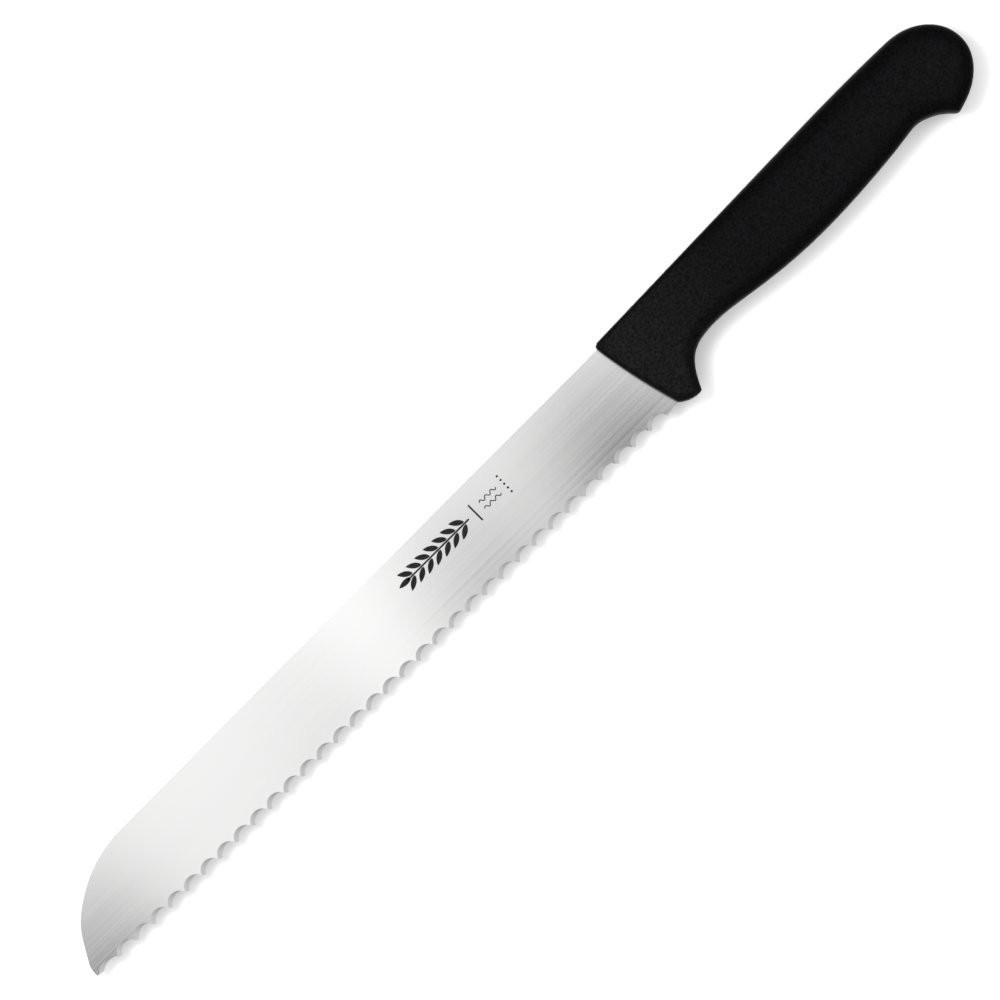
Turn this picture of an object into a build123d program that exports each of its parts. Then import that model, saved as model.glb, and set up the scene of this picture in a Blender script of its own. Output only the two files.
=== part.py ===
from build123d import *
import os
from math import sqrt

# Bread knife with a scalloped blade and a moulded handle, lying on its side.
# Drawing frame, in millimetres: X is 0 where the blade's spine enters the handle and grows towards
# the pommel, Y is 0 on the blade's centre line and grows towards the spine, Z is 0 at mid-thickness.
# The last lines move the finished pieces so that the knife rests on Z = 0, centred on the origin.

# Blade: one blank of sheet steel, flat above and ground thinner towards the edge
BLADE_LENGTH = 220.0
STOCK = 2.0
SPINE_Y = 13.5
SPINE_MIDDLE = (-90.0, 13.4)
TIP_START = (-186.0, 12.9)
TIP_CURVE = [(-197.9, 11.2), (-207.9, 6.4), (-214.8, 0.1), (-218.6, -6.2)]
TIP_Y = -11.2
GRIND_TOP_Y = 1.0           # both faces are ground from just above the centre line down to the edge
GRIND_END_X = 10.0          # the grind runs from here, inside the handle, past the tip
EDGE_STOCK = 1.0            # thickness left at the scallops

# Scallops: 34 round grinds made from the upper face, leaning as they go through
SCALLOPS = 34
SCALLOP_PITCH = 6.45
SCALLOP_RADIUS = 3.5
SCALLOP_LEAN = (0.9, -0.75)  # shift of each grind from the upper face of the edge to the lower one
FIRST_SCALLOP_X = -214.4    # where the row starts: centre of its grinds, on the lower face
TIP_SCALLOP = (-214.8, -14.9)  # the grind nearest the tip is wider and leaves the tip pointed
TIP_SCALLOP_RADIUS = 4.5
TIP_TOOTH_X = -218.9
HEEL_EDGE_Y = -13.15
EDGE_SLOPE = 0.0027         # the line of the teeth rises this much per millimetre towards the tip
EDGE_CURVE_X = -185.0       # from here to the tip the line of the teeth curves up
EDGE_CURVE_RADIUS = 600.0
TOOTH_FLAT = 0.12           # the points of the teeth are blunted by this much
HEEL = (5.5, -12.5)         # the plain stretch behind the last scallop ends here, at the handle

# Tang: the rear end of the blank, inside the handle
HEEL_CORNER = (9.5, -12.1)
TANG_NECK_X = 7.0
TANG_SHOULDER_X = 6.0
TANG_TOP_Y = 11.5
TANG_BOTTOM_Y = -0.8
TANG_END_X = 98.0
TANG_END_TOP_Y = 10.5
TANG_END_BOTTOM_Y = 1.0
TANG_END_ROUNDING = 3.0
TANG_HOLE_DIAMETER = 6.5
TANG_HOLE_X = (26.0, 54.0, 82.0)
TANG_HOLE_Y = 5.5

# Handle
HANDLE_THICKNESS = 19.0
EDGE_ROUNDING = 5.0
FRONT_TOP = (-0.25, 14.9)
FRONT_MIDDLE = (2.25, 0.3)
FRONT_BOTTOM = (5.5, -12.4)
CROWN_START = (84.0, 17.12)
CROWN_END = (113.0, 17.2)
POMMEL = [(120.3, 16.7), (127.1, 13.7), (131.6, 7.9), (132.2, 1.2), (129.0, -4.8), (123.0, -9.1)]
HOOK_TIP = (117.05, -11.1)
HOOK_TIP_HEADING = (-1.0, -0.32)
HOOK_MIDDLE = (112.8, -7.3)
HOOK_END = (107.8, -5.15)
BELLY = [(102.5, -5.3), (88.4, -6.8), (66.3, -7.7), (43.1, -5.8)]
NOTCH_CREST = (28.5, -4.15)
NOTCH_BEND = (18.8, -6.3)
BEAK_TIP = (12.7, -15.0)
BEAK_HEADING = (-0.45, -0.9)
BEAK_UNDERSIDE = (8.8, -14.45)

# Towards the front both sides of the handle curve in: each is a large cylinder whose axis lies along
# a line across the handle, leaning forward as it goes down
RELIEF_TOP = (60.0, 17.0)
RELIEF_BOTTOM = (50.0, -6.0)
RELIEF_RADIUS = 420.0
RELIEF_LIFT = 0.3           # the cylinder starts this far above the side panel
RELIEF_REACH = 66.0
FRONT_ROUNDING = 2.0


def tooth_line(x):
    """Height of the points of the teeth, on the lower face, at a place along the blade."""
    into_curve = max(0.0, EDGE_CURVE_X - x)
    return HEEL_EDGE_Y - EDGE_SLOPE * x + into_curve**2 / (2 * EDGE_CURVE_RADIUS)


half_pitch = SCALLOP_PITCH / 2
last_tooth_x = FIRST_SCALLOP_X + (SCALLOPS - 0.5) * SCALLOP_PITCH
edge_points = (last_tooth_x, EDGE_CURVE_X, (EDGE_CURVE_X + TIP_TOOTH_X) / 2, TIP_TOOTH_X)
blunt = [(x, tooth_line(x) + TOOTH_FLAT) for x in edge_points]
cusp_drop = sqrt(SCALLOP_RADIUS**2 - half_pitch**2)

with BuildPart() as blade:
    with BuildSketch():
        with BuildLine():
            spine = ThreePointArc((TANG_SHOULDER_X, SPINE_Y), SPINE_MIDDLE, TIP_START)
            tip = Spline(
                spine @ 1, *TIP_CURVE, (-BLADE_LENGTH, TIP_Y), tangents=[spine % 1, (0, -1)]
            )
            Line(tip @ 1, blunt[3])
            ThreePointArc(blunt[3], blunt[2], blunt[1])
            Line(blunt[1], blunt[0])
            Polyline(
                blunt[0],
                HEEL,
                HEEL_CORNER,
                (TANG_NECK_X, TANG_BOTTOM_Y),
                (TANG_END_X, TANG_END_BOTTOM_Y),
                (TANG_END_X, TANG_END_TOP_Y),
                (TANG_SHOULDER_X, TANG_TOP_Y),
                (TANG_SHOULDER_X, SPINE_Y),
            )
        make_face()
    extrude(amount=STOCK / 2, both=True)

    tang_end = blade.edges().filter_by(Axis.Z).group_by(Axis.X)[-1]
    fillet(tang_end, radius=TANG_END_ROUNDING)
    with Locations(*[(x, TANG_HOLE_Y) for x in TANG_HOLE_X]):
        Hole(TANG_HOLE_DIAMETER / 2)

    # The grind on both faces is one long wedge and its mirror image
    grind_slope = (STOCK - EDGE_STOCK) / 2 / (GRIND_TOP_Y - HEEL_EDGE_Y)
    below_edge_y = HEEL_EDGE_Y - STOCK
    with BuildSketch(Plane.YZ.offset(GRIND_END_X)):
        with BuildLine():
            Polyline(
                (GRIND_TOP_Y, STOCK / 2),
                (below_edge_y, STOCK / 2 - grind_slope * (GRIND_TOP_Y - below_edge_y)),
                (below_edge_y, STOCK),
                (GRIND_TOP_Y, STOCK),
                close=True,
            )
        make_face()
        mirror(about=Plane.XZ)
    extrude(amount=-(BLADE_LENGTH + 2 * GRIND_END_X), mode=Mode.SUBTRACT)

    # The scallops: each is a round grind between two teeth
    grinds = [(TIP_SCALLOP, TIP_SCALLOP_RADIUS)]
    for number in range(1, SCALLOPS):
        centre_x = FIRST_SCALLOP_X + number * SCALLOP_PITCH
        grinds.append(((centre_x, tooth_line(centre_x) - cusp_drop), SCALLOP_RADIUS))
    for centre, radius in grinds:
        with BuildSketch(Plane.XY.offset(-EDGE_STOCK / 2)):
            with Locations(centre):
                Circle(radius)
        extrude(
            amount=STOCK,
            dir=(-SCALLOP_LEAN[0], -SCALLOP_LEAN[1], EDGE_STOCK),
            both=True,
            mode=Mode.SUBTRACT,
        )

with BuildPart() as handle:
    with BuildSketch():
        with BuildLine():
            front = ThreePointArc(FRONT_BOTTOM, FRONT_MIDDLE, FRONT_TOP)
            top = Line(front @ 1, CROWN_START)
            crown = TangentArc(top @ 1, CROWN_END, tangent=top % 1)
            pommel = Spline(crown @ 1, *POMMEL, HOOK_TIP, tangents=[crown % 1, HOOK_TIP_HEADING])
            hook = ThreePointArc(pommel @ 1, HOOK_MIDDLE, HOOK_END)
            belly = Spline(hook @ 1, *BELLY, NOTCH_CREST, tangents=[hook % 1, (-1, 0)])
            notch = Spline(belly @ 1, NOTCH_BEND, BEAK_TIP, tangents=[(-1, 0), BEAK_HEADING])
            ThreePointArc(notch @ 1, BEAK_UNDERSIDE, FRONT_BOTTOM)
        make_face()
    extrude(amount=HANDLE_THICKNESS / 2, both=True)

    # The whole outline is rounded on both sides, except for the two front edges
    side_edges = handle.faces().filter_by(Axis.Z).edges().sort_by(Axis.X)
    fillet(side_edges[2:], radius=EDGE_ROUNDING)

    relief_line = Vector(*RELIEF_TOP) - Vector(*RELIEF_BOTTOM)
    across = Plane(
        origin=RELIEF_TOP,
        x_dir=(-relief_line.Y, relief_line.X),
        z_dir=relief_line,
    )
    lifted = HANDLE_THICKNESS / 2 + RELIEF_LIFT
    relief_end = lifted - RELIEF_RADIUS + sqrt(RELIEF_RADIUS**2 - RELIEF_REACH**2)
    with BuildSketch(across):
        with BuildLine():
            relief = RadiusArc((0, lifted), (RELIEF_REACH, relief_end), RELIEF_RADIUS)
            Polyline(relief @ 1, (RELIEF_REACH, lifted + 1), (0, lifted + 1), relief @ 0)
        make_face()
        mirror(about=Plane.XZ)
    extrude(amount=RELIEF_REACH, both=True, mode=Mode.SUBTRACT)

    # The four long edges of the front face, where the blade comes out
    front_edges = handle.faces().sort_by(Axis.X)[0].edges().sort_by(SortBy.LENGTH)[-4:]
    fillet(front_edges, radius=FRONT_ROUNDING)

    # The plastic fills everything around the blank, the holes in the tang included
    add(blade.part, mode=Mode.SUBTRACT)

# The knife lies on the side of its handle, with the origin under the middle of the whole
whole = blade.part.bounding_box().add(handle.part.bounding_box())
resting_place = Location((-whole.center().X, -whole.center().Y, -whole.min.Z))
blade.part.move(resting_place)
handle.part.move(resting_place)

os.makedirs("parts", exist_ok=True)
blade.part.label = "blade"
handle.part.label = "handle"
export_step(blade.part, "parts/blade.step")
export_step(handle.part, "parts/handle.step")
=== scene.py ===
import math

import bmesh
import bpy
import numpy as np
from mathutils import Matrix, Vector


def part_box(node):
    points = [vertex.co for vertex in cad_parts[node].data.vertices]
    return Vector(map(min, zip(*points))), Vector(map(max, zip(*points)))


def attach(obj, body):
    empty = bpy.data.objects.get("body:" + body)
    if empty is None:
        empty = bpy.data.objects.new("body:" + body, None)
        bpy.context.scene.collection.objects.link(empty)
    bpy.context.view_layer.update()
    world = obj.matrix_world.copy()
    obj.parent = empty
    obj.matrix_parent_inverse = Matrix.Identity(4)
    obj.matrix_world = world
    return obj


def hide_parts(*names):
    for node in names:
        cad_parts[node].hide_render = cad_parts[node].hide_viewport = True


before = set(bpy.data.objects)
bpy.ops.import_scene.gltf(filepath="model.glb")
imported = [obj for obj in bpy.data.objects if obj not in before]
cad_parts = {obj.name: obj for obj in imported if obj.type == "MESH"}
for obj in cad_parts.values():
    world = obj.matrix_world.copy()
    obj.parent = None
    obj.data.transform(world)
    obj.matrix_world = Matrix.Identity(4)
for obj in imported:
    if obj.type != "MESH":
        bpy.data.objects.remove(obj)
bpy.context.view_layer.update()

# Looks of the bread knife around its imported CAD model.
# Shapes are drawn in millimetres in the same drawing frame as the CAD source: X is 0 where the spine
# enters the handle and grows towards the pommel, Y is 0 on the blade's centre line and grows towards
# the spine, Z is 0 at mid-thickness. placed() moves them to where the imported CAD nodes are.
MM = 0.001

blade_low, blade_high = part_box("blade")
handle_low, handle_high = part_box("handle")
middle_z = (handle_low.z + handle_high.z) / 2
handle_half = (handle_high.z - handle_low.z) / 2 / MM
blade_top = (blade_high.z - blade_low.z) / 2 / MM

# Handle outline
FRONT_TOP = (-0.25, 14.9)
FRONT_MIDDLE = (2.25, 0.3)
FRONT_BOTTOM = (5.5, -12.4)
FRONT_CORNER = [(0.02, 13.2), (0.3, 14.35), (1.35, 14.94)]
CROWN_START = (84.0, 17.12)
CROWN_END = (113.0, 17.2)
POMMEL = [(120.3, 16.7), (127.1, 13.7), (131.6, 7.9), (132.2, 1.2), (129.0, -4.8), (123.0, -9.1)]
POMMEL_TOP = POMMEL[1]      # the mesh takes the stretch from here to POMMEL_BOTTOM as its rear end
POMMEL_BOTTOM = POMMEL[4]
HOOK_TIP = (117.05, -11.1)
HOOK_TIP_HEADING = (-1.0, -0.32)
HOOK_MIDDLE = (112.8, -7.3)
HOOK_END = (107.8, -5.15)
BELLY = [(102.5, -5.3), (88.4, -6.8), (66.3, -7.7), (43.1, -5.8)]
NOTCH_CREST = (28.5, -4.15)
NOTCH_BEND = (18.8, -6.3)
BEAK_TIP = (12.7, -15.0)
BEAK_HEADING = (-0.45, -0.9)
BEAK_UNDERSIDE = (8.8, -14.45)

# Handle sides
SEAM_HALF_WIDTH = 0.14      # the mould's parting line is a low ridge round the middle
SEAM_HEIGHT = 0.07
WALL_DRAFT = 0.16
SPINE_ROUNDING = (1.5, 6.2, 22, 82)  # least and full radius, and the X that it grows from and to
BELLY_ROUNDING = (2.2, 5.2, 9, 24)
ROUNDING_BLEND = (-3, 7)    # the belly side's rounding turns into the spine side's between these Y
ROUNDING_SPREAD = 1.5       # the rounding reaches this much further across the panel than it is deep
ROUNDING_END = math.radians(80)
PANEL_CROWN = 0.45
CROWN_SQUARENESS = 16       # the higher, the further the crown keeps its height along the panel
RELIEF_TOP = (60.0, 17.0)   # forward of the line through these two points both sides curve in
RELIEF_BOTTOM = (50.0, -6.0)
RELIEF_RADIUS = 460.0

# Handle mesh
LONG_STEPS = 180            # quads along the spine side, and as many along the belly side
CROSS_STEPS = 24            # quads across the front face, and as many round the pommel
BORDER_STEPS = 2 * (LONG_STEPS + CROSS_STEPS)
ROUNDING_STEPS = 9
EASING = 0.5                # share of the way that one pass moves a point towards its neighbours
LEAST_PASSES = 2
PASSES_BY_DEPTH = 1.8       # more passes for the rings further in, by the square of their depth
PANEL_PASSES = 80
WELD_DISTANCE = 1e-7        # joins the two halves at the parting line, in metres


def smoothstep(value, start, end):
    """0 up to the start, 1 from the end, and smooth between them."""
    share = np.clip((value - start) / (end - start), 0, 1)
    return share * share * (3 - 2 * share)


def unit(vector):
    """The vector at a length of 1."""
    return np.array(vector, float) / np.linalg.norm(vector)


def arc_through(start, middle, end, steps=60):
    """Points along the circle arc that starts, passes and ends at the given points."""
    a, b, c = (np.array(p, float) for p in (start, middle, end))
    sides = np.array([b - a, c - a])
    centre = a + np.linalg.solve(2 * sides, (sides**2).sum(1))
    angles = [math.atan2(*(p - centre)[::-1]) for p in (a, b, c)]
    sweep = (angles[2] - angles[0]) % (2 * math.pi)
    if (angles[1] - angles[0]) % (2 * math.pi) > sweep:
        sweep -= 2 * math.pi
    turn = angles[0] + sweep * np.linspace(0, 1, steps + 1)
    radius = np.linalg.norm(a - centre)
    return centre + radius * np.column_stack([np.cos(turn), np.sin(turn)])


def tangent_arc(start, end, heading):
    """Points along the circle arc that leaves its start along a heading."""
    start, end = np.array(start, float), np.array(end, float)
    chord = end - start
    turn = math.atan2(*unit(heading)[::-1]) - math.atan2(*chord[::-1])
    rise = math.tan(turn / 2) / 2
    return arc_through(start, (start + end) / 2 + rise * np.array([-chord[1], chord[0]]), end)


def curve_through(points, start_heading, end_heading, steps=24):
    """Points along the smooth cubic curve through the given points, with the headings at its ends."""
    points = np.array(points, float)
    spans = np.linalg.norm(np.diff(points, axis=0), axis=1)
    count = len(points)
    matrix = np.eye(count)
    slopes = np.zeros((count, 2))
    slopes[0], slopes[-1] = unit(start_heading), unit(end_heading)
    for i in range(1, count - 1):
        before, after = spans[i - 1], spans[i]
        matrix[i, i - 1 : i + 2] = after, 2 * (before + after), before
        step_in, step_out = points[i] - points[i - 1], points[i + 1] - points[i]
        slopes[i] = 3 * (after / before * step_in + before / after * step_out)
    slopes = np.linalg.solve(matrix, slopes)
    share = np.linspace(0, 1, steps + 1)[:, None]
    curve = []
    for i, span in enumerate(spans):
        curve.append(
            (1 + 2 * share) * (1 - share) ** 2 * points[i]
            + share * (1 - share) ** 2 * span * slopes[i]
            + share**2 * (3 - 2 * share) * points[i + 1]
            + share**2 * (share - 1) * span * slopes[i + 1]
        )
    return np.concatenate(curve)


def even_points(path, count):
    """count + 1 points, evenly spaced along a polyline."""
    run = np.concatenate([[0], np.cumsum(np.linalg.norm(np.diff(path, axis=0), axis=1))])
    places = np.linspace(0, run[-1], count + 1)
    return np.column_stack([np.interp(places, run, path[:, axis]) for axis in (0, 1)])


def nearest(path, point):
    """Index of the path's point that lies nearest to a given one."""
    return np.linalg.norm(path - point, axis=1).argmin()


def handle_outline():
    """The outline in four stretches: front face, spine side, pommel, belly side; clockwise."""
    face = arc_through(FRONT_BOTTOM, FRONT_MIDDLE, FRONT_TOP)
    face = face[face[:, 1] < FRONT_CORNER[0][1]]
    front = np.concatenate([face, arc_through(*FRONT_CORNER, steps=12)])
    top = np.array([FRONT_CORNER[-1], CROWN_START])
    crown = tangent_arc(top[1], CROWN_END, top[1] - top[0])
    pommel = curve_through([CROWN_END, *POMMEL, HOOK_TIP], crown[-1] - crown[-2], HOOK_TIP_HEADING)
    hook = arc_through(HOOK_TIP, HOOK_MIDDLE, HOOK_END)
    belly = curve_through([HOOK_END, *BELLY, NOTCH_CREST], hook[-1] - hook[-2], (-1, 0))
    notch = curve_through([NOTCH_CREST, NOTCH_BEND, BEAK_TIP], (-1, 0), BEAK_HEADING)
    beak = arc_through(BEAK_TIP, BEAK_UNDERSIDE, FRONT_BOTTOM)
    first = nearest(pommel, POMMEL_TOP)
    last = nearest(pommel, POMMEL_BOTTOM)
    spine_side = np.concatenate([top, crown, pommel[: first + 1]])
    belly_side = np.concatenate([pommel[last:], hook, belly, notch, beak])
    return front, spine_side, pommel[first : last + 1], belly_side


front_side, spine_side, pommel_side, belly_side = handle_outline()
outline_top = np.concatenate([front_side, spine_side, pommel_side, belly_side]).max(axis=0)
origin_x = handle_high.x - outline_top[0] * MM
origin_y = handle_high.y - outline_top[1] * MM


def placed(points):
    """Row-frame points, in metres, of points in the drawing frame, in millimetres."""
    return [(origin_x + x * MM, origin_y + y * MM, middle_z + z * MM) for x, y, z in points]


def edge_rounding(x, y):
    """Radius of the handle's long edges: nearly sharp at the front and full at the rear."""
    radii = []
    for least, full, start, end in (BELLY_ROUNDING, SPINE_ROUNDING):
        radii.append(least + (full - least) * smoothstep(x, start, end))
    return radii[0] + (radii[1] - radii[0]) * smoothstep(y, *ROUNDING_BLEND)


def half_thickness(x, y):
    """Half the handle's thickness at a place on its panels: it thins towards the front."""
    line = np.array(RELIEF_TOP) - np.array(RELIEF_BOTTOM)
    forward = np.array([-line[1], line[0]]) / np.linalg.norm(line)
    reach = (x - RELIEF_TOP[0]) * forward[0] + (y - RELIEF_TOP[1]) * forward[1]
    return handle_half - np.maximum(reach, 0) ** 2 / (2 * RELIEF_RADIUS)


def eased(ring, radius, passes):
    """The ring with its corners eased, more where the edge rounding is large."""
    ease = EASING * (radius / radius.max())[:, None] ** 2
    for _ in range(passes):
        ring = ring + ease * ((np.roll(ring, 1, axis=0) + np.roll(ring, -1, axis=0)) / 2 - ring)
    return ring


def inwards(ring):
    """Unit vectors that point into a clockwise ring."""
    along = np.roll(ring, -1, axis=0) - np.roll(ring, 1, axis=0)
    along /= np.linalg.norm(along, axis=1)[:, None]
    return np.column_stack([along[:, 1], -along[:, 0]])


def handle_rings(outline):
    """Rings of (x, y, height) from the parting line up to where the side panel starts."""
    radius = edge_rounding(*outline.T)
    wall = half_thickness(*outline.T) - PANEL_CROWN - radius * math.sin(ROUNDING_END)
    zero = np.zeros_like(wall)
    steps = [(zero, zero), (zero + SEAM_HEIGHT, zero + SEAM_HALF_WIDTH), (zero + WALL_DRAFT, wall)]
    for angle in np.linspace(0, ROUNDING_END, ROUNDING_STEPS + 1)[1:]:
        depth = WALL_DRAFT + ROUNDING_SPREAD * radius * (1 - math.cos(angle))
        steps.append((depth, wall + radius * math.sin(angle)))
    rings = []
    for depth, height in steps:
        passes = LEAST_PASSES + int(PASSES_BY_DEPTH * np.mean(depth) ** 2)
        ring = eased(outline, radius, passes)
        rings.append(np.column_stack([ring + inwards(ring) * depth[:, None], height]))
    return rings


def coons_patch(front, top, back, bottom):
    """A grid between four rows of points: front and back run from bottom to top."""
    u = np.linspace(0, 1, len(top))[:, None, None]
    v = np.linspace(0, 1, len(front))[None, :, None]
    lower_corners = (1 - u) * bottom[0] + u * bottom[-1]
    upper_corners = (1 - u) * top[0] + u * top[-1]
    across = (1 - v) * bottom[:, None] + v * top[:, None]
    along = (1 - u) * front[None] + u * back[None]
    return across + along - (1 - v) * lower_corners - v * upper_corners


def panel_grid(border):
    """The side panel inside its border ring: an even grid, slightly crowned."""
    n, m = LONG_STEPS, CROSS_STEPS
    front = border[: m + 1]
    top = border[m : m + n + 1]
    back = border[m + n : 2 * m + n + 1][::-1]
    bottom = np.vstack([border[2 * m + n :], border[:1]])[::-1]
    edges = (front, top, back, bottom)
    grid = coons_patch(*edges)
    for _ in range(PANEL_PASSES):
        lengthwise = grid[2:, 1:-1, :2] + grid[:-2, 1:-1, :2]
        crosswise = grid[1:-1, 2:, :2] + grid[1:-1, :-2, :2]
        grid[1:-1, 1:-1, :2] = (lengthwise + crosswise) / 4
    drops = [(half_thickness(*edge[:, :2].T) - edge[:, 2])[:, None] for edge in edges]
    drop = coons_patch(*drops)[..., 0]
    u = np.linspace(-1, 1, n + 1)[:, None]
    v = np.linspace(-1, 1, m + 1)[None, :]
    swell = (1 - v**2) * (1 - u**CROWN_SQUARENESS)
    grid[..., 2] = half_thickness(grid[..., 0], grid[..., 1]) - drop * (1 - swell)
    return grid


def border_place(i, j):
    """Where a point of the panel's grid lies on the border ring, or None inside it."""
    n, m = LONG_STEPS, CROSS_STEPS
    if i == 0:
        return j
    if j == m:
        return m + i
    if i == n:
        return 2 * m + n - j
    if j == 0:
        return BORDER_STEPS - i
    return None


def add_handle_side(bm, rings, grid, side):
    """Half of the handle, above (side 1) or below (side -1) the parting line."""
    flip = np.array([1, 1, side])
    rows = [[bm.verts.new(p) for p in placed(ring * flip)] for ring in rings]
    for lower, upper in zip(rows[:-1], rows[1:]):
        for i in range(BORDER_STEPS):
            bm.faces.new([lower[i - 1], lower[i], upper[i], upper[i - 1]])
    panel = []
    for i, points in enumerate(grid):
        inside = placed(points * flip)
        borders = [border_place(i, j) for j in range(len(points))]
        panel.append([
            bm.verts.new(p) if border is None else rows[-1][border]
            for p, border in zip(inside, borders)
        ])
    for row, after in zip(panel[:-1], panel[1:]):
        for j in range(CROSS_STEPS):
            bm.faces.new([row[j], after[j], after[j + 1], row[j + 1]])


def mesh_object(name, bm, material, smooth=True):
    """A piece made of a finished bmesh, which is freed."""
    mesh = bpy.data.meshes.new(name)
    bmesh.ops.recalc_face_normals(bm, faces=bm.faces)
    bm.to_mesh(mesh)
    bm.free()
    for face in mesh.polygons:
        face.use_smooth = smooth
    mesh.materials.append(material)
    piece = bpy.data.objects.new(name, mesh)
    bpy.context.scene.collection.objects.link(piece)
    return piece


def make_handle(material):
    """The moulded handle: both halves, each with its wall, rounded edges and side panel."""
    stretches = [
        even_points(front_side, CROSS_STEPS),
        even_points(spine_side, LONG_STEPS),
        even_points(pommel_side, CROSS_STEPS),
        even_points(belly_side, LONG_STEPS),
    ]
    outline = np.concatenate([stretch[:-1] for stretch in stretches])
    rings = handle_rings(outline)
    grid = panel_grid(rings[-1])
    bm = bmesh.new()
    for side in (1, -1):
        add_handle_side(bm, rings, grid, side)
    bmesh.ops.remove_doubles(bm, verts=bm.verts, dist=WELD_DISTANCE)
    piece = mesh_object("handle_moulding", bm, material)
    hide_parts("handle")
    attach(piece, "root")


# Parts of materials

def node_shader(name):
    """A new material with its node tree, its Principled shader and its object coordinates."""
    material = bpy.data.materials.new(name)
    material.use_nodes = True
    tree = material.node_tree
    coordinates = tree.nodes.new("ShaderNodeTexCoord").outputs["Object"]
    return material, tree, tree.nodes["Principled BSDF"], coordinates


def mapped(tree, vector, scale, shift=(0, 0, 0)):
    """The coordinates scaled by a different amount along each axis, and then shifted."""
    mapping = tree.nodes.new("ShaderNodeMapping")
    mapping.inputs["Scale"].default_value = scale
    mapping.inputs["Location"].default_value = shift
    tree.links.new(vector, mapping.inputs["Vector"])
    return mapping.outputs["Vector"]


def along_axis(tree, vector, axis):
    """One coordinate of a vector."""
    split = tree.nodes.new("ShaderNodeSeparateXYZ")
    tree.links.new(vector, split.inputs[0])
    return split.outputs[axis]


def calculated(tree, operation, *values):
    """The result of a sum on one or two values."""
    node = tree.nodes.new("ShaderNodeMath")
    node.operation = operation
    for value, socket in zip(values, node.inputs):
        tree.links.new(value, socket)
    return node.outputs[0]


def noise(tree, vector, scale, detail=3.0, roughness=0.6):
    """Soft random blotches with values around 0.5."""
    texture = tree.nodes.new("ShaderNodeTexNoise")
    texture.inputs["Scale"].default_value = scale
    texture.inputs["Detail"].default_value = detail
    texture.inputs["Roughness"].default_value = roughness
    tree.links.new(vector, texture.inputs["Vector"])
    return texture.outputs["Fac"]


def ramp(tree, value, low, high, start=0.3, end=0.7):
    """A value between low and high, as the input goes from start to end."""
    spread = tree.nodes.new("ShaderNodeMapRange")
    spread.inputs["From Min"].default_value = start
    spread.inputs["From Max"].default_value = end
    spread.inputs["To Min"].default_value = low
    spread.inputs["To Max"].default_value = high
    tree.links.new(value, spread.inputs["Value"])
    return spread.outputs["Result"]


def tone_ramp(tree, value, tones, interpolation="EASE"):
    """A grey that follows a value, given as (value, tone) in rising order."""
    first, last = tones[0][0], tones[-1][0]
    colours = tree.nodes.new("ShaderNodeValToRGB")
    stops = colours.color_ramp
    stops.interpolation = interpolation
    while len(stops.elements) < len(tones):
        stops.elements.new(0.5)
    for stop, (place, tone) in zip(stops.elements, tones):
        stop.position = (place - first) / (last - first)
        stop.color = (tone, tone, tone, 1)
    tree.links.new(ramp(tree, value, 0, 1, first, last), colours.inputs["Fac"])
    return colours.outputs["Color"]


def mixed(tree, share, first, second):
    """The first colour where the share is 0 and the second where it is 1."""
    blend = tree.nodes.new("ShaderNodeMix")
    blend.data_type = "RGBA"
    tree.links.new(share, blend.inputs["Factor"])
    tree.links.new(first, blend.inputs["A"])
    tree.links.new(second, blend.inputs["B"])
    return blend.outputs["Result"]


def shades(tree, value, dark, light):
    """A colour between two shades, by a value from 0 to 1."""
    blend = tree.nodes.new("ShaderNodeMix")
    blend.data_type = "RGBA"
    blend.inputs["A"].default_value = (*dark, 1)
    blend.inputs["B"].default_value = (*light, 1)
    tree.links.new(value, blend.inputs["Factor"])
    return blend.outputs["Result"]


def multiplied(tree, colour, tone):
    """A colour made darker by a tone."""
    blend = tree.nodes.new("ShaderNodeMix")
    blend.data_type = "RGBA"
    blend.blend_type = "MULTIPLY"
    blend.inputs["Factor"].default_value = 1.0
    tree.links.new(colour, blend.inputs["A"])
    tree.links.new(tone, blend.inputs["B"])
    return blend.outputs["Result"]


def bumped(tree, height, distance, strength=0.5, below=None):
    """The surface's normal with a relief on it, on top of the one below."""
    bump = tree.nodes.new("ShaderNodeBump")
    bump.inputs["Strength"].default_value = strength
    bump.inputs["Distance"].default_value = distance
    tree.links.new(height, bump.inputs["Height"])
    if below is not None:
        tree.links.new(below, bump.inputs["Normal"])
    return bump.outputs["Normal"]


def uprightness(tree):
    """1 where the surface faces up or down and 0 where it is a vertical wall."""
    normal = tree.nodes.new("ShaderNodeNewGeometry").outputs["Normal"]
    return calculated(tree, "ABSOLUTE", along_axis(tree, normal, "Z"))


# Steel
STEEL_REFLECTANCE = 0.75
STEEL_SHADES = (0.74, 0.74, 0.74), (0.765, 0.765, 0.76)
FINE_LINES = (9, 4200, 700)         # scale of the noise along each axis
BROAD_LINES = (3, 520, 120)
FINE_DEPTH = 0.000003
FINE_STRENGTH = 0.3
BROAD_DEPTH = 0.00005
BROAD_ZONE = (-6, 0)                # the broad lines fade out between these Y, where the grind ends
STEEL_ROUGHNESS = (0.13, 0.17)
WALL_ROUGHNESS = 0.5
WALL_UPRIGHTNESS = (0.75, 0.97)     # a wall below the first, polished flat above the second


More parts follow.
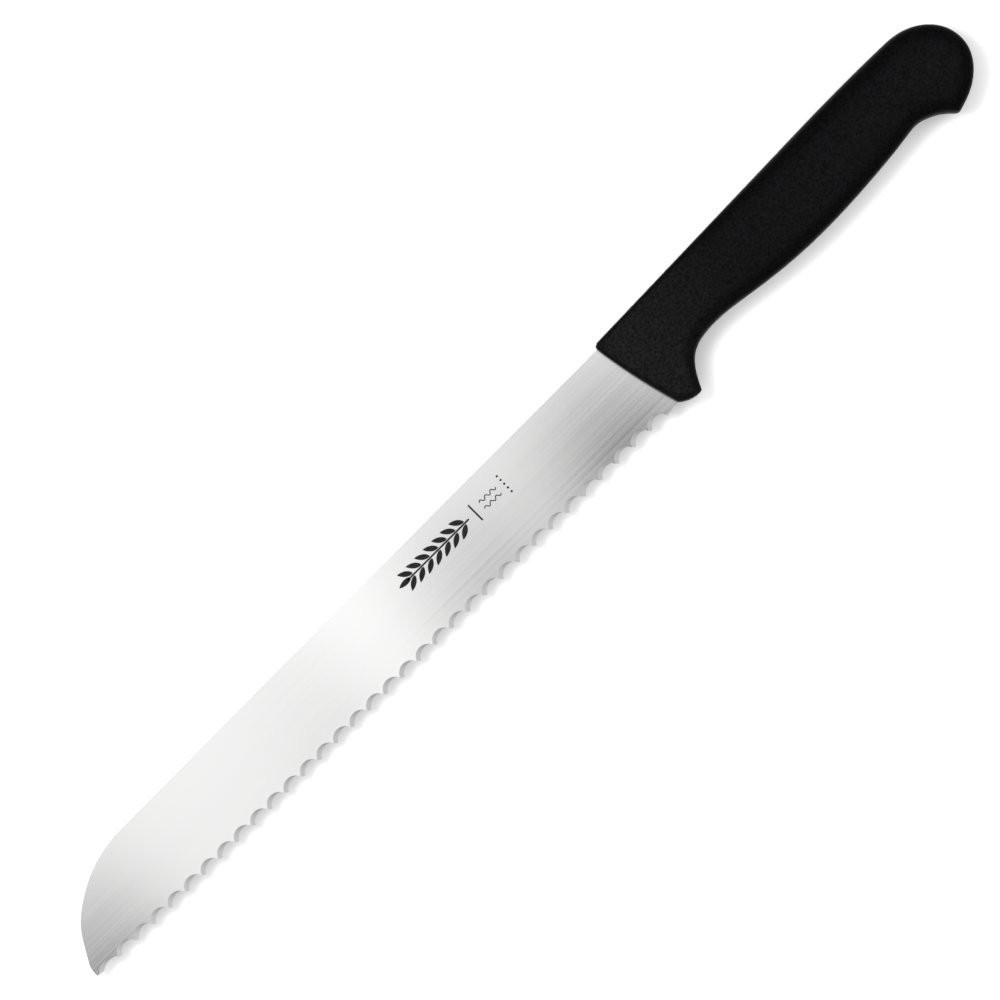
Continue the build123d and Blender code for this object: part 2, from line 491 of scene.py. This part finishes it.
def steel():
    """Stainless steel, polished lengthwise, with broader lines where it is ground and rough walls."""
    material, tree, shader, where = node_shader("brushed_steel")
    shader.inputs["Metallic"].default_value = 1.0
    fine_lines = noise(tree, mapped(tree, where, FINE_LINES), 1.0)
    broad_lines = noise(tree, mapped(tree, where, BROAD_LINES), 1.0, roughness=0.55)
    tree.links.new(shades(tree, ramp(tree, fine_lines, 0, 1), *STEEL_SHADES), shader.inputs["Base Color"])

    roughness = tree.nodes.new("ShaderNodeMix")
    tree.links.new(ramp(tree, uprightness(tree), 1, 0, *WALL_UPRIGHTNESS), roughness.inputs["Factor"])
    tree.links.new(ramp(tree, fine_lines, *STEEL_ROUGHNESS), roughness.inputs["A"])
    roughness.inputs["B"].default_value = WALL_ROUGHNESS
    tree.links.new(roughness.outputs["Result"], shader.inputs["Roughness"])

    zone = [origin_y + y * MM for y in BROAD_ZONE]
    ground = ramp(tree, along_axis(tree, where, "Y"), 1, 0, *zone)
    relief = bumped(tree, calculated(tree, "MULTIPLY", broad_lines, ground), BROAD_DEPTH)
    relief = bumped(tree, fine_lines, FINE_DEPTH, FINE_STRENGTH, relief)
    tree.links.new(relief, shader.inputs["Normal"])
    return material


# Plastic
TEXTURE_SCALE = 1400
TEXTURE_DEPTH = 0.00012
MOTTLING_SCALE = 300
MOTTLING_DEPTH = 0.0001
SPECKLE_RANGE = (0.37, 0.63)        # stretch of the texture that goes from the dark to the light shade
# The front's shades are painted light: the handle is coloured lighter near the blade, up to 45 mm back,
# than at the rear
PAINTED_LIGHT_FRONT_SHADES = (0.0030, 0.0030, 0.0034), (0.0168, 0.0168, 0.0174)
REAR_SHADES = (0.0001, 0.0001, 0.0003), (0.0066, 0.0066, 0.0082)
PAINTED_LIGHT_ZONE = (5, 45)               # the front's shades turn into the rear's between these X
PLASTIC_ROUGHNESS = (0.30, 0.42)
PLASTIC_SPECULAR = 0.1      # at a tone of 1; it falls with the tone
# How light the plastic looks, painted by how upright the surface is: painted shade darkens the rounded
# edges, and painted light makes the walls lighter than the side panels. Given as (uprightness, tone)
PAINTED_SHADE_BY_UPRIGHTNESS = [(0, 1.0), (0.4, 0.75), (0.65, 0.36), (0.86, 0.36), (0.975, 0.52)]


def plastic():
    """Black moulded polypropylene with a fine, slightly mottled grain; painted shade on the rounded
    edges, painted light near the front and on the walls.
    """
    material, tree, shader, where = node_shader("black_plastic")
    texture = noise(tree, where, TEXTURE_SCALE)
    mottling = noise(tree, where, MOTTLING_SCALE)
    speckle = ramp(tree, texture, 0, 1, *SPECKLE_RANGE)
    # Painted light: the front of the handle takes lighter shades that fade into the rear's
    front = shades(tree, speckle, *PAINTED_LIGHT_FRONT_SHADES)
    rear = shades(tree, speckle, *REAR_SHADES)
    zone = [origin_x + x * MM for x in PAINTED_LIGHT_ZONE]
    colour = mixed(tree, ramp(tree, along_axis(tree, where, "X"), 0, 1, *zone), front, rear)
    # Painted shade and light: the colour and the specular level follow how upright the surface is,
    # darkest on the rounded edges
    tone = tone_ramp(tree, uprightness(tree), PAINTED_SHADE_BY_UPRIGHTNESS)
    tree.links.new(multiplied(tree, colour, tone), shader.inputs["Base Color"])
    tree.links.new(ramp(tree, mottling, *PLASTIC_ROUGHNESS), shader.inputs["Roughness"])
    tree.links.new(ramp(tree, tone, 0, PLASTIC_SPECULAR, 0, 1), shader.inputs["Specular IOR Level"])
    relief = bumped(tree, mottling, MOTTLING_DEPTH)
    tree.links.new(bumped(tree, texture, TEXTURE_DEPTH, below=relief), shader.inputs["Normal"])
    return material


# Ink
INK_SHADES = (0.006, 0.006, 0.006), (0.014, 0.014, 0.014)
INK_PATCHES = 900
INK_ROUGHNESS = (0.45, 0.65)
INK_SPECULAR = 0.1


def ink():
    """Dark etched ink, slightly uneven."""
    material, tree, shader, where = node_shader("mark_ink")
    patches = noise(tree, where, INK_PATCHES)
    tree.links.new(shades(tree, ramp(tree, patches, 0, 1), *INK_SHADES), shader.inputs["Base Color"])
    tree.links.new(ramp(tree, patches, *INK_ROUGHNESS), shader.inputs["Roughness"])
    shader.inputs["Specular IOR Level"].default_value = INK_SPECULAR
    return material


# A printed mark on the flat of the blade: an ear of wheat, a bar, two wavy lines and a row of dots
MARK_Y = 5.5
MARK_THICKNESS = 0.03
STEM_X = (-82.0, -58.0)
STEM_WIDTH = 0.5
SEED_PAIRS = 7
SEED_ROOTS_X = (-59.5, -79.5)
SEED_ROOT_OFFSET = 0.4
TOP_SEED_X = -80.7
SEED_SPLAY = math.radians(36)
SEED_LENGTH = 4.5
SEED_WIDTH = 1.6
SEED_SKEW = 0.85           # below 1 the seed is widest nearer to its root
SEED_PLUMPNESS = 0.8       # below 1 the seed is fuller towards its ends
SEED_POINTS = 11
BAR_X = -55.5
BAR_HALF_HEIGHT = 2.9
WAVES_X = (-52.8, -46.6)
WAVE_SPACING = 2.2
WAVE_HEIGHT = 0.45
WAVE_LENGTH = 2.07
WAVE_WIDTH = 0.3
WAVE_POINTS = 41
DOTS_X = -44.2
DOT_SPACING = 1.45
DOT_RADIUS = 0.33
DOT_POINTS = 16


def printed(bm, outline):
    """A thin flat patch of ink with the given outline, half sunk into the blade's flat."""
    levels = (blade_top - MARK_THICKNESS / 2, blade_top + MARK_THICKNESS / 2)
    lower, upper = ([bm.verts.new(p) for p in placed([(x, y, z) for x, y in outline])] for z in levels)
    bm.faces.new(upper)
    bm.faces.new(lower[::-1])
    for i in range(len(outline)):
        bm.faces.new([lower[i - 1], lower[i], upper[i], upper[i - 1]])


def seed_outline(root, angle):
    """A plump seed that is pointed at both ends, growing from its root at an angle."""
    share = np.linspace(0, 1, SEED_POINTS)
    half = SEED_WIDTH / 2 * np.sin(math.pi * share**SEED_SKEW) ** SEED_PLUMPNESS
    one_side = np.column_stack([share * SEED_LENGTH, half])
    other_side = (one_side * (1, -1))[-2:0:-1]
    turn = np.array([[math.cos(angle), math.sin(angle)], [-math.sin(angle), math.cos(angle)]])
    return np.concatenate([one_side, other_side]) @ turn + root


def band_outline(path, width):
    """A band of one width along a path."""
    path = np.array(path, float)
    along = np.gradient(path, axis=0)
    along /= np.linalg.norm(along, axis=1)[:, None]
    side = np.column_stack([-along[:, 1], along[:, 0]]) * width / 2
    return np.concatenate([path + side, (path - side)[::-1]])


def print_ear(bm):
    """Pairs of seeds along a stem, and one at its top."""
    for root_x in np.linspace(*SEED_ROOTS_X, SEED_PAIRS):
        for side in (1, -1):
            root = (root_x, MARK_Y + side * SEED_ROOT_OFFSET)
            printed(bm, seed_outline(root, math.pi - side * SEED_SPLAY))
    printed(bm, seed_outline((TOP_SEED_X, MARK_Y), math.pi))
    printed(bm, band_outline([(x, MARK_Y) for x in STEM_X], STEM_WIDTH))


def print_bar(bm):
    ends = [(BAR_X, MARK_Y - BAR_HALF_HEIGHT), (BAR_X, MARK_Y + BAR_HALF_HEIGHT)]
    printed(bm, band_outline(ends, STEM_WIDTH))


def print_waves(bm):
    x = np.linspace(*WAVES_X, WAVE_POINTS)
    swing = WAVE_HEIGHT * np.sin((x - x[0]) * 2 * math.pi / WAVE_LENGTH)
    for side in (1, -1):
        middle = MARK_Y + side * WAVE_SPACING / 2
        printed(bm, band_outline(np.column_stack([x, middle + swing]), WAVE_WIDTH))


def print_dots(bm):
    turn = np.linspace(0, 2 * math.pi, DOT_POINTS + 1)[:-1]
    circle = DOT_RADIUS * np.column_stack([np.cos(turn), np.sin(turn)])
    for step in (-2, -1, 0, 1, 2):
        printed(bm, circle + (DOTS_X, MARK_Y + step * DOT_SPACING))


def make_mark(material):
    bm = bmesh.new()
    print_ear(bm)
    print_bar(bm)
    print_waves(bm)
    print_dots(bm)
    piece = mesh_object("blade_mark", bm, material, smooth=False)
    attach(piece, "root")


# Stage
FLOOR_REACH = 3.0           # half the floor's width, enough for every view
FLOOR_PATCHES = 3
FLOOR_SHADES = (0.91, 0.91, 0.91), (0.93, 0.93, 0.93)
FLOOR_ROUGHNESS = 0.9
FACE_UP = (0, 1, 2, 3)      # order of a sheet's corners
FACE_DOWN = (3, 2, 1, 0)


def level_sheet(name, reach, height, material, face):
    """A level square sheet at a height, facing up or down."""
    sides = [(-1, -1), (1, -1), (1, 1), (-1, 1)]
    corners = [(x * reach, y * reach, height) for x, y in sides]
    mesh = bpy.data.meshes.new(name)
    mesh.from_pydata(corners, [], [face])
    mesh.materials.append(material)
    sheet = bpy.data.objects.new(name, mesh)
    bpy.context.scene.collection.objects.link(sheet)
    return sheet


def floor_paper():
    """Pale matt paper."""
    material, tree, shader, where = node_shader("floor_paper")
    patches = noise(tree, where, FLOOR_PATCHES, detail=2.0, roughness=0.5)
    tree.links.new(shades(tree, patches, *FLOOR_SHADES), shader.inputs["Base Color"])
    shader.inputs["Roughness"].default_value = FLOOR_ROUGHNESS
    shader.inputs["Specular IOR Level"].default_value = 0.0
    return material


def make_floor():
    """A pale floor that the knife doesn't mirror."""
    floor = level_sheet("floor", FLOOR_REACH, 0, floor_paper(), FACE_UP)
    floor.visible_glossy = False


# Light
SKY_ZENITH = 2.5            # the studio's soft light, brightest overhead
# Share of that brightness: (-1 straight down, 0 the horizon, 1 the zenith; share)
SKY_TONES = [(-1, 0.15), (0.1, 0.15), (0.45, 0.03), (1, 1)]
KEY_PLACE = (-0.17, 0.34, 1.0)
KEY_SIZE = 0.30
KEY_POWER = 5.6


def make_sky():
    """Soft light from all round, which depends on height only."""
    world = bpy.data.worlds.new("studio")
    bpy.context.scene.world = world
    world.use_nodes = True
    tree = world.node_tree
    direction = tree.nodes.new("ShaderNodeTexCoord").outputs["Generated"]
    brightness = tone_ramp(tree, along_axis(tree, direction, "Z"), SKY_TONES, "LINEAR")
    tree.links.new(brightness, tree.nodes["Background"].inputs["Color"])
    tree.nodes["Background"].inputs["Strength"].default_value = SKY_ZENITH


def make_key_light():
    """A soft square lamp, high behind the spine, which casts the knife's shadow."""
    data = bpy.data.lights.new("key", "AREA")
    data.size = KEY_SIZE
    data.energy = KEY_POWER
    lamp = bpy.data.objects.new("key", data)
    bpy.context.scene.collection.objects.link(lamp)
    lamp.location = KEY_PLACE
    lamp.rotation_euler = (-Vector(KEY_PLACE)).to_track_quat("-Z", "Y").to_euler()
    lamp.visible_camera = False
    lamp.visible_glossy = False


# A card above the knife, seen only by reflections. Its strip gives the polished blade its light and
# dark zones: (X of the blade's point below the tone, tone on the spine side, tone on the edge side)
CAMERA_HEIGHT = 2.0
CARD_HEIGHT = 0.3
CARD_REACH = 1.6            # half the card's width
CARD_STRIP = (0.05, 0.09)   # the strip fades out between these distances from the card's middle line
CARD_SURROUND = (0.75, 0.35)  # beyond the strip the card is plain, and darker further out
CARD_TONES = [
    (-215, 0.74, 0.16),
    (-204, 0.73, 0.28),
    (-190, 0.80, 0.76),
    (-180, 0.85, 0.84),
    (-150, 0.87, 0.80),
    (-122, 0.83, 0.69),
    (-98, 1.0, 0.97),
    (-72, 0.82, 0.44),
    (-60, 0.81, 0.32),
    (-42, 0.80, 0.66),
    (-28, 0.78, 0.31),
    (-15, 0.75, 0.0),
    (0, 0.74, 0.12),
    (25, 1.0, 1.0),
]
# (Y, share of the way from the edge side's tone to the spine side's). The ground half of the blade
# leans, and mirrors the part of the card that lies 18 mm further towards the edge
CARD_ACROSS = [(-29, 0.0), (-17, 0.7), (0, 0.25), (16, 1.0)]


def strip_colour(tree, where):
    """Tones of the strip: each point of the blade mirrors the card's point that lies further out."""
    scale = 1 / MM / (1 + CARD_HEIGHT / CAMERA_HEIGHT)
    blade_point = mapped(tree, where, (scale, scale, 1), (-origin_x / MM, -origin_y / MM, 0))
    along = along_axis(tree, blade_point, "X")
    across = tone_ramp(tree, along_axis(tree, blade_point, "Y"), CARD_ACROSS)
    edge_side = tone_ramp(tree, along, [(x, tone) for x, _, tone in CARD_TONES])
    spine_side = tone_ramp(tree, along, [(x, tone) for x, tone, _ in CARD_TONES])
    return mixed(tree, across, edge_side, spine_side)


def card_material():
    """A glow that is plain all round a strip of tones; it is set so that steel mirrors the tones."""
    material = bpy.data.materials.new("light_card")
    material.use_nodes = True
    tree = material.node_tree
    tree.nodes.remove(tree.nodes["Principled BSDF"])
    where = tree.nodes.new("ShaderNodeTexCoord").outputs["Object"]
    distance = tree.nodes.new("ShaderNodeVectorMath")
    distance.operation = "LENGTH"
    tree.links.new(where, distance.inputs[0])
    surround = ramp(tree, distance.outputs["Value"], *CARD_SURROUND, CARD_HEIGHT, CARD_REACH)
    aside = calculated(tree, "ABSOLUTE", along_axis(tree, where, "Y"))
    outside = ramp(tree, aside, 0, 1, *CARD_STRIP)
    glow = tree.nodes.new("ShaderNodeEmission")
    glow.inputs["Strength"].default_value = 1 / STEEL_REFLECTANCE
    tree.links.new(mixed(tree, outside, strip_colour(tree, where), surround), glow.inputs["Color"])
    tree.links.new(glow.outputs["Emission"], tree.nodes["Material Output"].inputs["Surface"])
    return material


def make_card():
    height = blade_high.z + CARD_HEIGHT
    card = level_sheet("light_card", CARD_REACH, height, card_material(), FACE_DOWN)
    card.visible_camera = False
    card.visible_diffuse = False
    card.visible_shadow = False


# Camera
CAMERA_MIDDLE = (-0.00444, 0.00198)
FRAME_WIDTH = 0.2764        # what the picture takes in at the blade's upper face
SENSOR_WIDTH = 36


def make_camera():
    """Straight above, turned so that the knife lies across the picture as in the photograph."""
    data = bpy.data.cameras.new("camera")
    data.sensor_width = SENSOR_WIDTH
    data.lens = SENSOR_WIDTH * CAMERA_HEIGHT / FRAME_WIDTH
    camera = bpy.data.objects.new("camera", data)
    bpy.context.scene.collection.objects.link(camera)
    camera.location = (*CAMERA_MIDDLE, blade_high.z + CAMERA_HEIGHT)
    camera.rotation_euler = (0, 0, math.radians(-45))
    bpy.context.scene.camera = camera


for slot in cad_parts["blade"].material_slots:
    slot.material = steel()
make_handle(plastic())
make_mark(ink())
make_floor()
make_sky()
make_key_light()
make_card()
make_camera()
bpy.context.scene.view_settings.view_transform = "Standard"
